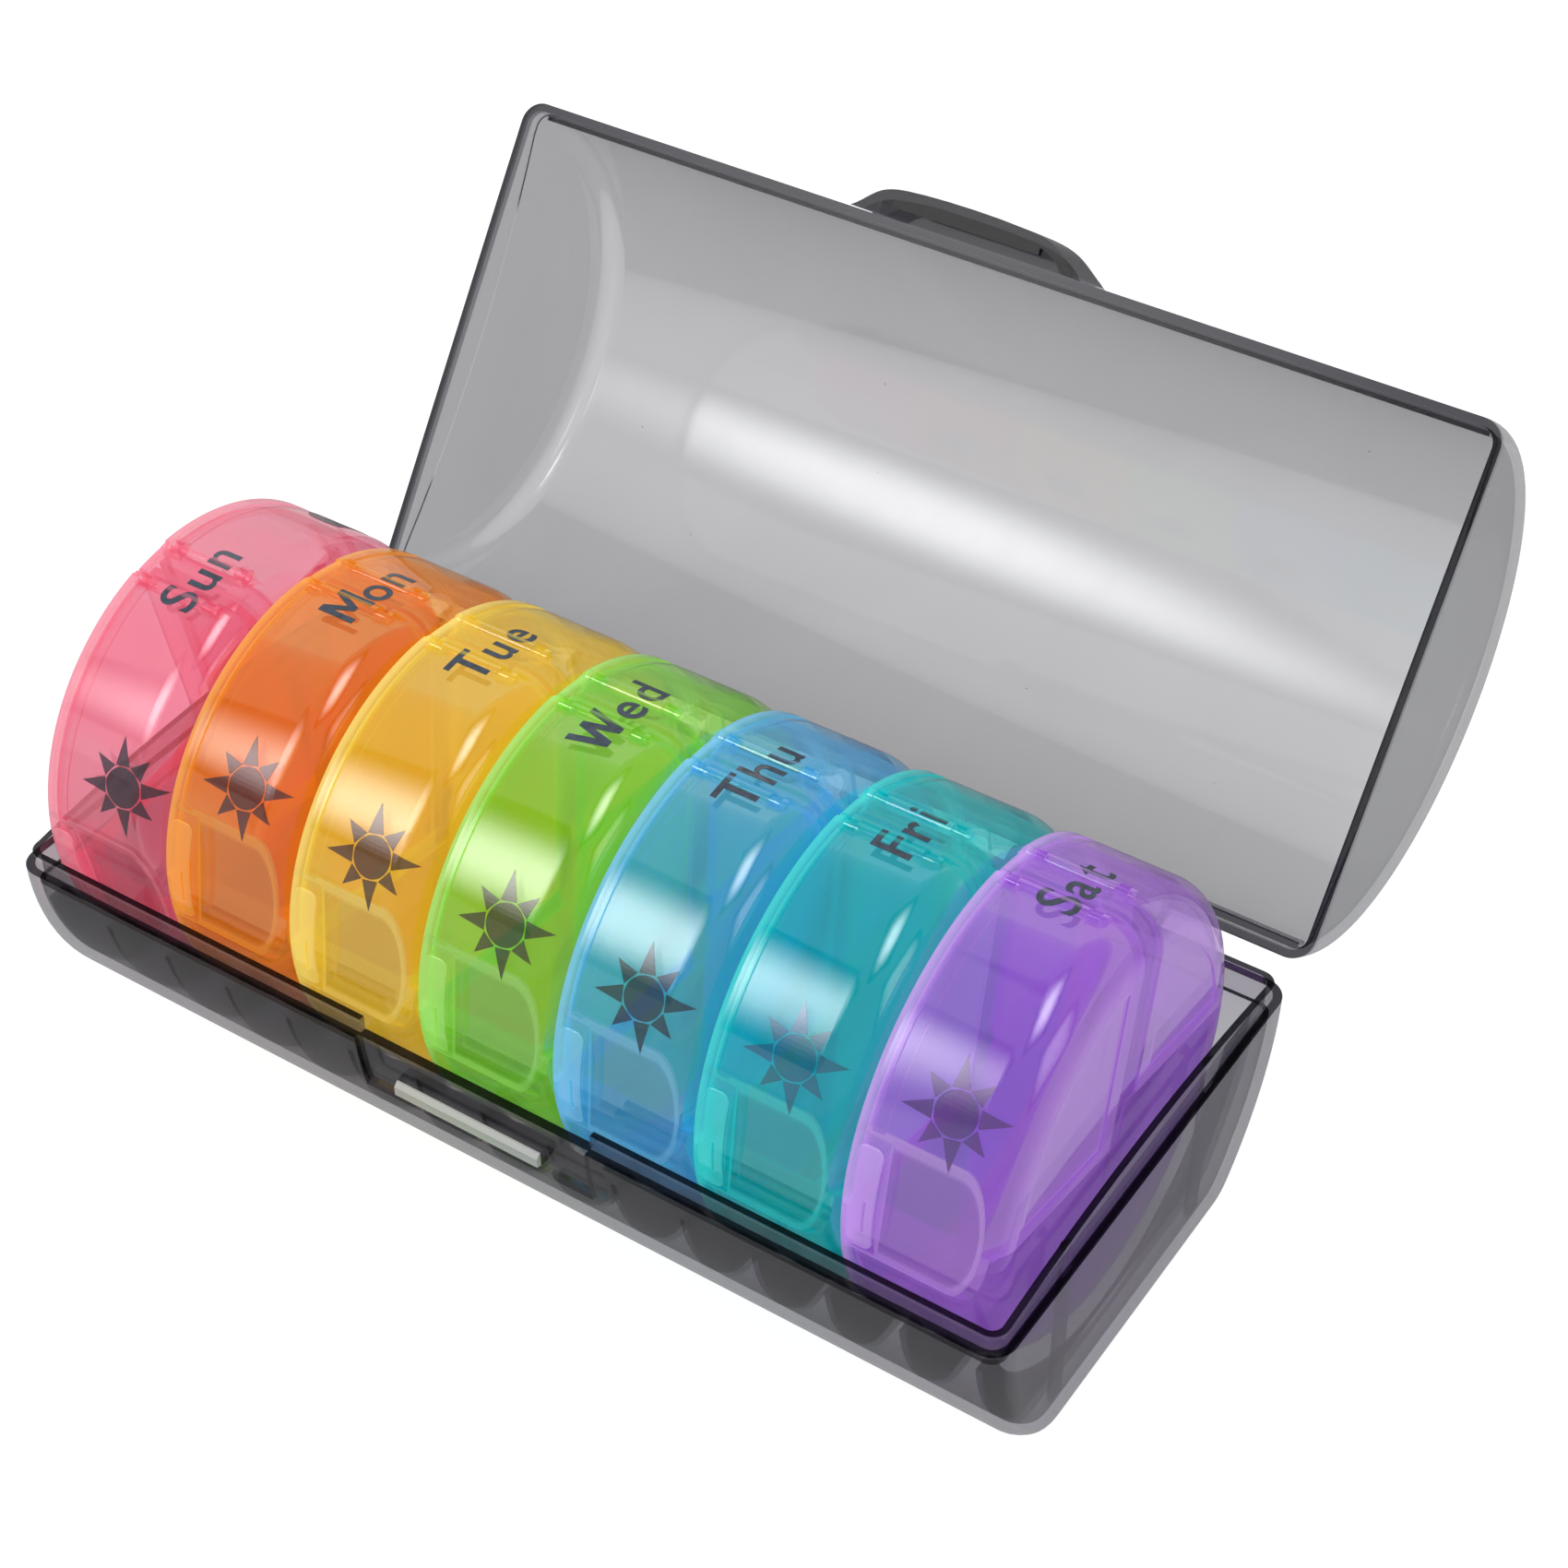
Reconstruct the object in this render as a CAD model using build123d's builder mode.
from build123d import *
import os
from math import cos, sin, radians, sqrt

# Travel pill organizer: a long hinged case, lid open, holding seven round day pods.
# Each pod is a bowl with a dividing wall and a bridge, and two snap-hinged lids
# (morning at the front, evening at the back).
# Origin: centre of the case's flat underside. +X runs along the row of days,
# -Y is the latch side (front), +Z is up. Dimensions are in millimetres and degrees.

gap = 0.15                  # general assembly gap

# ----------------------------------------------------------------- pod sizes
# Pods are modelled about their own axis, with the left face at x = 0.
# Each day's roll; a positive roll leans the top of the pod towards the back.
day_rolls = {"sun": -11.0, "mon": 8.0, "tue": 6.0, "wed": 5.0, "thu": 3.5, "fri": 6.0, "sat": 10.0}
pod_radius = 41.5
pod_width = 27.2
pod_pitch = pod_width + 0.6
pod_x0 = -((len(day_rolls) - 1) * pod_pitch + pod_width) / 2    # left face of the first pod
pod_y = -3.0
pod_z = 45.5
pod_wall = 1.3
shoulder = 8.0              # large rounding on the right-hand edge
left_round = 1.2
beyond = pod_radius + 3     # reach of cutting blocks past the pod

split_am = -2.0             # seam heights of the two lids
split_pm = 6.0
tab_am = (-15.0, 17.5)      # angular span of the thumb flat, up from horizontal
tab_pm = (-7.0, 25.5)
tab_sides = ((tab_am, 1), (tab_pm, -1))     # 1 is the front, -1 the back
flat_x0 = 6.7               # left end of the thumb flat
flat_gap = 0.12             # gap between a lid's flat plate and the body
flat_reach = 60.0           # half height of blocks that cut right across a flat

pad_height = 0.45           # finger pad above the lid surface
pad_sink = 0.4
pad_round = 1.6
pad_edge_round = 0.3
channel_depth = 0.35        # channel beside the left-hand rim
channel_top = 83.0          # elevation of its upper end
panel_depth = 0.35          # panel on the right-hand face
panel_margin = 1.2          # panel to shoulder
panel_back = -7.0           # panel's back edge
panel_rise = 2.5            # panel's lower edge above the seam

bridge_half = 3.0           # half width of the bridge between the two lids
bridge_gap = 0.25           # bridge to each lid, and bridge sides to the pod faces
bridge_drop = 0.5
bridge_wall = 1.4
bridge_side_x = 1.6         # inner face of the bridge's side legs
bridge_tail = 4.0           # bridge legs run this far below the front seam
divider_wall = 1.2
lip_wall = 0.8              # locating lip around the seams
lip_below = 2.0
lip_above = 1.5

axis_y = 4.5                # lid hinge axes, in front of and behind the pod's own centre
axis_z = 40.2
barrel_radius = 1.25        # rolled hinge edge of a lid
barrel_x1 = 20.4
stub_radius = 0.8           # moulded hinge stubs on the lids
stub_inset = 0.3
eye_radius = 0.85           # bore of the snap eyes on the bridge
eye_outer_radius = 1.2
eye_slot = 1.2              # mouth of the eye
eye_side_gap = 0.2
eye_clear_radius = 1.65     # lid relief around an eye
eye_root_y = 2.8            # web that ties an eye to the bridge
eye_root_z = 39.95
eye_root_height = 1.9
eyes = ((2.4, 4.4), (17.2, 19.2))           # X span of each eye

# ---------------------------------------------------------------- case sizes
case_length = 205.0         # along X
case_radius = 49.0          # outer radius of the half-round section
rim_z = 38.0                # parting plane
wall = 1.8
rim_wall = 2.8              # thickened band at the rims
end_round = 4.5             # rounding of the end-wall edges
foot_round = 10.0           # rounding between the flat underside and the sides

band_inset = 1.2            # base rim band
band_depth = 4.0
band_round = 3.0            # plan corners, outside and inside
band_inner_round = 2.0
tongue_wall = 1.2           # locating tongue on the base rim
tongue_height = 3.0
tongue_crown = 3.4          # extra tongue height in the middle of the end walls
crown_half = 44.0           # half width of the crown
overlap = 0.5               # how far added shapes sink into what carries them

rib_pitch = pod_pitch / 2   # cradle ribs inside the base
rib_wall = 1.2
rib_top = 31.0
rib_bottom = 1.2
cradle_lift = 1.0           # cradle arc's centre above the pod axis
cradle_gap = 1.1            # cradle arc's radius over the pod's
spacer_radius = 1.5         # half-round spacers at the end walls
spacer_y = 24.0
spacer_z0 = 2.5

latch_width = 48.0          # latch recess in the base
latch_height = 12.5
latch_margin = 2.0          # thick panel around the recess
catch_width = 30.0
# Catch section: Y, Z relative to the parting plane
catch_outline = ((-47.2, -4.2), (-49.6, -4.8), (-50.3, -5.6), (-50.3, -7.4), (-47.0, -8.2))

lid_straight = 3.2          # straight part of the case lid above its rim
lid_centre_z = rim_z + lid_straight
lid_band_height = 6.5
skirt_wall = 1.45           # outer skirt of the lid rim
rebate_round = 3.1
rebate_below = 1.0          # rim cutters start this far below the rim
rebate_height = rebate_below + tongue_height + 0.3

apron_drop = 9.6            # latch apron below the parting plane
apron_height = 15.0
hook_y = -52.3
hook_depth = 2.6
hook_height = 1.4
# Plan curves of the apron and the hollow behind it: X, Y from the left end to the middle
apron_half = [(-25.5, -48.3), (-22.5, -49.6), (-18.5, -53.0), (-12.0, -54.6), (0, -55.0)]
hollow_half = [(-20.6, -48.9), (-17.2, -51.6), (-11.5, -53.0), (0, -53.4)]
hollow_back = -45.0

hinge_y = 52.0              # case hinge axis
hinge_z = 37.0
lid_open = 125.0            # opening angle of the case lid at rest
knuckle_radius = 2.75
knuckle_length = 10.0
knuckle_gap = 0.3
pin_radius = 1.0
pin_chamfer = 0.25
bore_radius = pin_radius + 0.05
hinge_x = {"left": -60.0, "right": 60.0}    # centres of the two hinges


# ------------------------------------------------------------- shape helpers
def disc_form(radius, x0, x1, round_l, round_r):
    """Solid disc about the X axis with its own left and right edge roundings."""
    inset = 1 - sqrt(0.5)       # midpoint of a unit corner arc, measured from the corner
    with BuildPart() as form:
        with BuildSketch(Plane.XZ):
            with BuildLine():
                Line((x0, 0), (x0, radius - round_l))
                ThreePointArc((x0, radius - round_l),
                              (x0 + round_l * inset, radius - round_l * inset),
                              (x0 + round_l, radius))
                Line((x0 + round_l, radius), (x1 - round_r, radius))
                ThreePointArc((x1 - round_r, radius),
                              (x1 - round_r * inset, radius - round_r * inset),
                              (x1, radius - round_r))
                Polyline((x1, radius - round_r), (x1, 0), (x0, 0))
            make_face()
        revolve(axis=Axis.X)
    return form.part


def pod_disc(inset, round_l):
    """The pod's outer form, shrunk by an inset on every side."""
    return disc_form(pod_radius - inset, inset, pod_width - inset, round_l, shoulder - inset)


def yz_prism(points, x0=-1, x1=pod_width + 1):
    """Prism from a closed outline in Y and Z; by default it spans a whole pod."""
    with BuildPart() as prism:
        with BuildSketch(Plane.YZ.offset(x0)):
            with BuildLine():
                Polyline(*points, close=True)
            make_face()
        extrude(amount=x1 - x0)
    return prism.part


def yz_block(y0, y1, z0, z1):
    """Rectangular block across a whole pod."""
    return yz_prism([(y0, z0), (y1, z0), (y1, z1), (y0, z1)])


def tab_block(tab, out0, out1, across0, across1, x0=-1, side=1):
    """Block measured out along a thumb flat's normal and upwards across it."""
    middle = radians((tab[0] + tab[1]) / 2)
    cosine, sine = cos(middle), sin(middle)
    corners = ((out0, across0), (out1, across0), (out1, across1), (out0, across1))
    return yz_prism([(side * (-out * cosine + across * sine), out * sine + across * cosine)
                     for out, across in corners], x0)


def tab_depth(tab):
    """Distance of a thumb flat from the pod axis."""
    return pod_radius * cos(radians((tab[1] - tab[0]) / 2))


def tab_half(tab):
    """Half height of a thumb flat."""
    return pod_radius * sin(radians((tab[1] - tab[0]) / 2))


def ring_piece(x0, x1, r0, r1, top, bottom):
    """Part of a ring about the X axis between two elevations on the front."""
    angle = radians(top)
    # The plane's local Y points to the front at the upper elevation
    plane = Plane(origin=(0, 0, 0), x_dir=(1, 0, 0), z_dir=(0, -sin(angle), -cos(angle)))
    with BuildPart() as ring:
        with BuildSketch(plane):
            with Locations(((x0 + x1) / 2, (r0 + r1) / 2)):
                Rectangle(x1 - x0, r1 - r0)
        revolve(axis=Axis.X, revolution_arc=top - bottom)
    return ring.part


# ------------------------------------------------------------ pod lid, front
def make_finger_pad(tab):
    """Raised pad to the left of the thumb flat."""
    pad_top = pod_radius + pad_height
    with BuildPart() as pad:
        add(ring_piece(1.6, 6.3, pod_radius - pad_sink, pad_top, tab[1] - 3.2, tab[0] + 2.2))
        corners = pad.edges().filter_by(GeomType.LINE).filter_by(
            lambda e: e.length < 2 and abs(e.tangent_at(0.5).X) < 0.1)
        fillet(corners, pad_round)
        outer_edges = [e for e in pad.edges()
                       if all(abs(sqrt(v.Y ** 2 + v.Z ** 2) - pad_top) < 0.02
                              for v in e.vertices())]
        fillet(outer_edges, pad_edge_round)
    return pad.part


def make_lid(split, tab):
    """Pod lid on the front side, closed."""
    depth, half = tab_depth(tab), tab_half(tab)
    outer = pod_disc(0, left_round)
    with BuildPart() as plate:
        add(outer)
        add(tab_block(tab, depth - pod_wall, beyond, -half, half + 0.8, x0=pod_wall + 0.05),
            mode=Mode.INTERSECT)
    with BuildPart() as lid:
        add(outer)
        add(pod_disc(pod_wall, 0.5), mode=Mode.SUBTRACT)
        add(yz_block(-beyond, -(bridge_half + bridge_gap), split + gap, beyond),
            mode=Mode.INTERSECT)
        add(plate.part)
        # planar thumb flat
        add(tab_block(tab, depth, beyond, -half - 1, half, x0=flat_x0), mode=Mode.SUBTRACT)
        # raised finger pad and its short groove
        add(make_finger_pad(tab))
        add(ring_piece(4.3, 4.9, pod_radius + 0.2, pod_radius + 1, tab[0] + 16, tab[0] + 7),
            mode=Mode.SUBTRACT)
        # shallow channel beside the left-hand rim
        add(ring_piece(3.0, 5.2, pod_radius - channel_depth, pod_radius + 1, channel_top, tab[1]),
            mode=Mode.SUBTRACT)
        # shallow panel on the right-hand face
        with BuildSketch(Plane.YZ.offset(pod_width - panel_depth)):
            Circle(pod_radius - shoulder - panel_margin)
            with Locations((panel_back, split + panel_rise)):
                Rectangle(100, 100, align=(Align.MAX, Align.MIN), mode=Mode.INTERSECT)
        extrude(amount=2, mode=Mode.SUBTRACT)
        # hinge edge: trimmed back, rolled, relieved at the eyes, then joined by the stubs
        add(yz_block(-axis_y, -2, axis_z, beyond), mode=Mode.SUBTRACT)
        with BuildSketch(Plane.YZ.offset(left_round)):
            with Locations((-axis_y, axis_z)):
                Circle(barrel_radius)
        extrude(amount=barrel_x1 - left_round)
        for x0, x1 in eyes:
            with BuildSketch(Plane.YZ.offset(x0 - eye_side_gap)):
                with Locations((-axis_y, axis_z)):
                    Circle(eye_clear_radius)
            extrude(amount=x1 - x0 + 2 * eye_side_gap, mode=Mode.SUBTRACT)
        with BuildSketch(Plane.YZ.offset(left_round + stub_inset)):
            with Locations((-axis_y, axis_z)):
                Circle(stub_radius)
        extrude(amount=barrel_x1 - left_round - 2 * stub_inset)
    return lid.part


# ------------------------------------------------------------------ pod body
def make_divider_slab():
    """Slab on the pod's middle plane, larger than the pod."""
    return yz_block(-divider_wall / 2, divider_wall / 2, -beyond, beyond)


def make_cavity():
    """The two compartments, as solids to cut away."""
    with BuildPart() as cavity:
        add(pod_disc(pod_wall, 2.0))
        for tab, side in tab_sides:
            add(tab_block(tab, tab_depth(tab) - 2.6, beyond, -flat_reach, flat_reach, side=side),
                mode=Mode.SUBTRACT)
        add(make_divider_slab(), mode=Mode.SUBTRACT)
    return cavity.part


def make_lip():
    """Thin lip inside the seams that locates the lids."""
    with BuildPart() as band:
        add(yz_block(-beyond, 0, split_am - lip_below, split_am + lip_above))
        add(yz_block(0, beyond, split_pm - lip_below, split_pm + lip_above))
    with BuildPart() as lip:
        add(pod_disc(pod_wall + gap, 0.4))
        add(pod_disc(pod_wall + gap + lip_wall, 0.4), mode=Mode.SUBTRACT)
        for tab, side in tab_sides:
            add(tab_block(tab, tab_depth(tab) - pod_wall - flat_gap, beyond,
                          -flat_reach, flat_reach, side=side), mode=Mode.SUBTRACT)
        add(band.part, mode=Mode.INTERSECT)
    return lip.part


def make_bridge():
    """Hoop over the top between the two lids, with legs down both faces."""
    bridge_radius = pod_radius - bridge_drop
    with BuildPart() as bridge:
        add(disc_form(bridge_radius, bridge_gap, pod_width - bridge_gap, 0.9,
                      shoulder - bridge_gap))
        add(disc_form(bridge_radius - bridge_wall, bridge_side_x, pod_width - bridge_side_x, 0.4,
                      shoulder - bridge_side_x), mode=Mode.SUBTRACT)
        add(yz_block(-bridge_half, bridge_half, split_am - bridge_tail, beyond),
            mode=Mode.INTERSECT)
    return bridge.part


def make_divider():
    """Wall between the front and back compartments."""
    with BuildPart() as divider:
        add(disc_form(pod_radius - 1.0, 0.8, pod_width - 0.8, 0.9, shoulder - 0.9))
        add(make_divider_slab(), mode=Mode.INTERSECT)
    return divider.part


def make_body():
    """Pod bowl with lip, bridge, divider and snap eyes."""
    with BuildPart() as body:
        add(pod_disc(0, left_round))
        # open the bowl above the stepped seam
        add(yz_prism([(-beyond, split_am), (0, split_am), (0, split_pm), (beyond, split_pm),
                      (beyond, beyond), (-beyond, beyond)]), mode=Mode.SUBTRACT)
        # recesses behind the lids' thumb flats
        for tab, side in tab_sides:
            add(tab_block(tab, tab_depth(tab) - pod_wall - flat_gap, beyond,
                          -tab_half(tab) - gap, flat_reach, x0=pod_wall - 0.1, side=side),
                mode=Mode.SUBTRACT)
        add(make_cavity(), mode=Mode.SUBTRACT)
        add(make_lip())
        add(make_bridge())
        add(make_divider())
        # snap eyes for the two lids, open at the top
        for side in (-1, 1):
            for x0, x1 in eyes:
                with BuildSketch(Plane.YZ.offset(x0)):
                    with Locations((side * axis_y, axis_z)):
                        Circle(eye_outer_radius)
                    with Locations((side * (axis_y + eye_root_y) / 2, eye_root_z)):
                        Rectangle(axis_y - eye_root_y, eye_root_height)
                extrude(amount=x1 - x0)
                with BuildSketch(Plane.YZ.offset(x0 - 0.1)):
                    with Locations((side * axis_y, axis_z)):
                        Circle(eye_radius)
                    with Locations((side * axis_y, axis_z + 1)):
                        Rectangle(eye_slot, 2)
                extrude(amount=x1 - x0 + 0.2, mode=Mode.SUBTRACT)
    return body.part


# -------------------------------------------------------------- case helpers
def rim_size(inset):
    """Length and width of the case rim, inset on every side."""
    return case_length - 2 * inset, 2 * (case_radius - inset)


def crown_slab(x0, thickness, half, crown, bottom):
    """Slab at an end wall whose top arches up from the tongue's height."""
    top = rim_z + tongue_height
    with BuildPart() as slab:
        with BuildSketch(Plane.YZ.offset(x0)):
            with BuildLine():
                ThreePointArc((-half, top), (0, top + crown), (half, top))
                Polyline((half, top), (half, bottom), (-half, bottom), (-half, top))
            make_face()
        extrude(amount=thickness)
    return slab.part


def knuckle(x0, length, web):
    """Bored hinge knuckle with a web outline (Y, Z) that ties it to the case."""
    with BuildPart() as barrel:
        with BuildSketch(Plane.YZ.offset(x0)):
            with Locations((hinge_y, hinge_z)):
                Circle(knuckle_radius)
            with BuildLine():
                Polyline(*web, close=True)
            make_face()
            with Locations((hinge_y, hinge_z)):
                Circle(bore_radius, mode=Mode.SUBTRACT)
        extrude(amount=length)
    return barrel.part


def mirrored(left_half):
    """Full curve from its left half, which ends on the middle plane."""
    return left_half + [(-x, y) for x, y in reversed(left_half[:-1])]


# ------------------------------------------------------------------ case base
def trough(radius, z0, half_length, round_end, round_foot):
    """Half-round trough block below the parting plane with a flat underside."""
    with BuildPart() as block:
        with BuildSketch(Plane.YZ.offset(-half_length)):
            with Locations((0, rim_z)):
                Circle(radius)
            with Locations((0, (rim_z + z0) / 2)):
                Rectangle(4 * radius, rim_z - z0, mode=Mode.INTERSECT)
        extrude(amount=2 * half_length)
        fillet(block.edges().filter_by(Axis.X).group_by(Axis.Z)[0], round_foot)
        end_edges = [e for e in block.edges()
                     if abs(abs(e.center().X) - half_length) < 0.01 and e.center().Z < rim_z - 0.01]
        fillet(end_edges, round_end)
    return block.part


def make_case_base():
    with BuildPart() as base:
        add(trough(case_radius, 0, case_length / 2, end_round, foot_round))
        add(trough(case_radius - wall, wall, case_length / 2 - wall, end_round - wall,
                   foot_round - wall), mode=Mode.SUBTRACT)
        # thickened rim band
        with BuildSketch(Plane.XY.offset(rim_z - band_depth)):
            RectangleRounded(*rim_size(band_inset), band_round)
            RectangleRounded(*rim_size(rim_wall), band_inner_round, mode=Mode.SUBTRACT)
        extrude(amount=band_depth)
        # locating tongue around the rim, crowned over the end walls
        with BuildSketch(Plane.XY.offset(rim_z - overlap)):
            RectangleRounded(*rim_size(rim_wall - tongue_wall), band_round)
            RectangleRounded(*rim_size(rim_wall), band_inner_round, mode=Mode.SUBTRACT)
        extrude(amount=tongue_height + overlap)
        for x0 in (-case_length / 2 + rim_wall - tongue_wall, case_length / 2 - rim_wall):
            add(crown_slab(x0, tongue_wall, crown_half, tongue_crown, rim_z - overlap))
        # the tongue stops at the latch
        with BuildSketch(Plane.XY.offset(rim_z)):
            with Locations((0, -case_radius)):
                Rectangle(latch_width, 10)
        extrude(amount=10, mode=Mode.SUBTRACT)
        # thick panel, then the latch recess and its catch
        with BuildSketch(Plane.YZ.offset(-latch_width / 2 - latch_margin)):
            with Locations((0, rim_z)):
                Circle(case_radius - 0.6)
                Circle(case_radius - rim_wall, mode=Mode.SUBTRACT)
            with Locations((-case_radius, rim_z - (latch_height + latch_margin) / 2)):
                Rectangle(30, latch_height + latch_margin, mode=Mode.INTERSECT)
        extrude(amount=latch_width + 2 * latch_margin)
        with BuildSketch(Plane.YZ.offset(-latch_width / 2)):
            with Locations((0, rim_z)):
                Circle(case_radius + 3)
                Circle(case_radius - 1.0, mode=Mode.SUBTRACT)
            with Locations((-case_radius, rim_z - latch_height / 2 + 1)):
                Rectangle(30, latch_height + 2, mode=Mode.INTERSECT)
        extrude(amount=latch_width, mode=Mode.SUBTRACT)
        with BuildSketch(Plane.YZ.offset(-catch_width / 2)):
            with BuildLine():
                Polyline(*[(y, rim_z + z) for y, z in catch_outline], close=True)
            make_face()
        extrude(amount=catch_width)
        # cradle ribs that carry the pods
        for i in range(-len(day_rolls), len(day_rolls) + 1):
            with BuildSketch(Plane.YZ.offset(i * rib_pitch - rib_wall / 2)):
                with Locations((0, rim_z)):
                    Circle(case_radius - wall + overlap)
                with Locations((0, (rib_top + rib_bottom) / 2)):
                    Rectangle(120, rib_top - rib_bottom, mode=Mode.INTERSECT)
                with Locations((pod_y, pod_z + cradle_lift)):
                    Circle(pod_radius + cradle_gap, mode=Mode.SUBTRACT)
            extrude(amount=rib_wall)
        # half-round spacers inside the end walls
        for side in (-1, 1):
            for y in (-spacer_y, spacer_y):
                with BuildSketch(Plane.XY.offset(spacer_z0)):
                    with Locations((side * (case_length / 2 - rim_wall + 0.2), y)):
                        Circle(spacer_radius)
                    with Locations((side * (case_length / 2 - rim_wall + 0.4 - 5), y)):
                        Rectangle(10, 4, mode=Mode.INTERSECT)
                extrude(amount=rim_z + tongue_height - 1 - spacer_z0)
        # middle knuckle of each back hinge
        length = knuckle_length - knuckle_gap
        web = ((case_radius - 1.5, rim_z - 0.2), (hinge_y, rim_z - 0.2),
               (hinge_y, hinge_z - knuckle_radius),
               (case_radius - 1.8, hinge_z - knuckle_radius - 2.5))
        for x in hinge_x.values():
            add(knuckle(x - length / 2, length, web))
    return base.part


# ------------------------------------------------------------------- case lid
def vault(radius, half_length, round_end):
    """Round-topped block above the parting plane."""
    with BuildPart() as block:
        with BuildSketch(Plane.YZ.offset(-half_length)):
            with Locations((0, lid_centre_z)):
                Circle(radius)
            with Locations((0, lid_centre_z - 50)):
                Rectangle(4 * radius, 100, mode=Mode.SUBTRACT)
            with Locations((0, (rim_z + lid_centre_z) / 2)):
                Rectangle(2 * radius, lid_straight)
        extrude(amount=2 * half_length)
        end_edges = [e for e in block.edges()
                     if abs(abs(e.center().X) - half_length) < 0.01 and e.center().Z > rim_z + 0.01]
        fillet(end_edges, round_end)
    return block.part


def make_closed_lid():
    with BuildPart() as lid:
        add(vault(case_radius, case_length / 2, end_round))
        add(vault(case_radius - wall, case_length / 2 - wall, end_round - wall),
            mode=Mode.SUBTRACT)
        # thickened rim band on the long sides
        for side in (-1, 1):
            with BuildSketch(Plane.XY.offset(rim_z)):
                with Locations((0, side * (case_radius - rim_wall / 2 - 0.2))):
                    Rectangle(case_length - 7, rim_wall - 0.4)
            extrude(amount=lid_band_height)
        # rebate that takes the base's tongue
        with BuildSketch(Plane.XY.offset(rim_z - rebate_below)):
            RectangleRounded(*rim_size(skirt_wall), rebate_round)
            Rectangle(*rim_size(rim_wall + 1), mode=Mode.SUBTRACT)
        extrude(amount=rebate_height, mode=Mode.SUBTRACT)
        for x0 in (-case_length / 2 + skirt_wall, case_length / 2 - wall - 0.2):
            add(crown_slab(x0, wall + 0.2 - skirt_wall, crown_half + 0.5, tongue_crown + 0.4,
                           rim_z - rebate_below), mode=Mode.SUBTRACT)
        # the inner part of the front rim is notched at the latch
        with BuildSketch(Plane.XY.offset(rim_z - rebate_below)):
            with Locations((0, -case_radius + skirt_wall + 5)):
                Rectangle(latch_width - 1, 10)
        extrude(amount=rebate_height, mode=Mode.SUBTRACT)
        # latch apron that bulges from the front rim
        with BuildSketch(Plane.XY.offset(rim_z - apron_drop)):
            with BuildLine():
                apron = mirrored(apron_half)
                Spline(*apron)
                Line(apron[-1], apron[0])
            make_face()
        extrude(amount=apron_height)
        # its upper face slopes back into the lid wall
        with BuildSketch(Plane.YZ.offset(-30)):
            with BuildLine():
                Polyline((-48.9, rim_z + 6.5), (-56.5, rim_z - 2.2), (-56.5, rim_z + 10),
                         (-48.9, rim_z + 10), close=True)
            make_face()
        extrude(amount=60, mode=Mode.SUBTRACT)
        # hollow behind the apron
        with BuildSketch(Plane.XY.offset(rim_z - apron_drop - 1)):
            with BuildLine():
                hollow = mirrored(hollow_half)
                Spline(*hollow)
                Polyline(hollow[-1], (hollow[-1][0], hollow_back), (hollow[0][0], hollow_back),
                         hollow[0])
            make_face()
        extrude(amount=apron_drop + 0.9, mode=Mode.SUBTRACT)
        # clear the strip along the wall below the parting plane
        with BuildSketch(Plane.XY.offset(rim_z - apron_drop - 1)):
            with Locations((0, -47.4)):
                Rectangle(60, 3.4)
        extrude(amount=apron_drop + 1, mode=Mode.SUBTRACT)
        # hook bar that snaps under the catch
        with BuildSketch(Plane.XY.offset(rim_z - apron_drop)):
            with Locations((0, hook_y)):
                Rectangle(catch_width + 0.4, hook_depth)
        extrude(amount=hook_height)
        # hinge knuckles, one each side of the base's
        length = knuckle_length - knuckle_gap / 2
        offset = knuckle_length / 2 + knuckle_gap / 2 + length / 2
        web = ((case_radius - 1.2, rim_z + 0.05), (hinge_y, rim_z + 0.05),
               (hinge_y + knuckle_radius * 0.8, hinge_z + knuckle_radius * 0.6),
               (case_radius - 1.0, rim_z + 7.0))
        for x in hinge_x.values():
            for side in (-1, 1):
                add(knuckle(x + side * offset - length / 2, length, web))
    return lid.part


def make_case_lid():
    """Case lid swung open about the hinge axis."""
    with BuildPart() as lid:
        hinge_axis = Axis((0, hinge_y, hinge_z), (1, 0, 0))
        add(make_closed_lid().rotate(hinge_axis, -lid_open))
    return lid.part


# ----------------------------------------------------------------- hinge pins
def make_hinge_pin(x):
    length = 3 * knuckle_length
    with BuildPart() as pin:
        with BuildSketch(Plane.YZ.offset(x - length / 2)):
            with Locations((hinge_y, hinge_z)):
                Circle(pin_radius)
        extrude(amount=length)
        chamfer(pin.edges().filter_by(GeomType.CIRCLE), pin_chamfer)
    return pin.part


def place_form(form, place):
    with BuildPart() as piece:
        add(form.moved(place))
    return piece.part


# --------------------------------------------------------- assembly and export
pieces = {"case_base": make_case_base(), "case_lid": make_case_lid()}
for side, x in hinge_x.items():
    pieces[f"hinge_pin_{side}"] = make_hinge_pin(x)

pod_forms = {
    "pod_body": make_body(),
    "am_lid": make_lid(split_am, tab_am),
    "pm_lid": make_lid(split_pm, tab_pm).mirror(Plane.XZ),
}
for i, (day, roll) in enumerate(day_rolls.items()):
    place = Location((pod_x0 + i * pod_pitch, pod_y, pod_z), (-roll, 0, 0))
    for kind, form in pod_forms.items():
        pieces[f"{kind}_{day}"] = place_form(form, place)

os.makedirs("parts", exist_ok=True)
for name, piece in pieces.items():
    piece.label = name
    export_step(piece, f"parts/{name}.step")
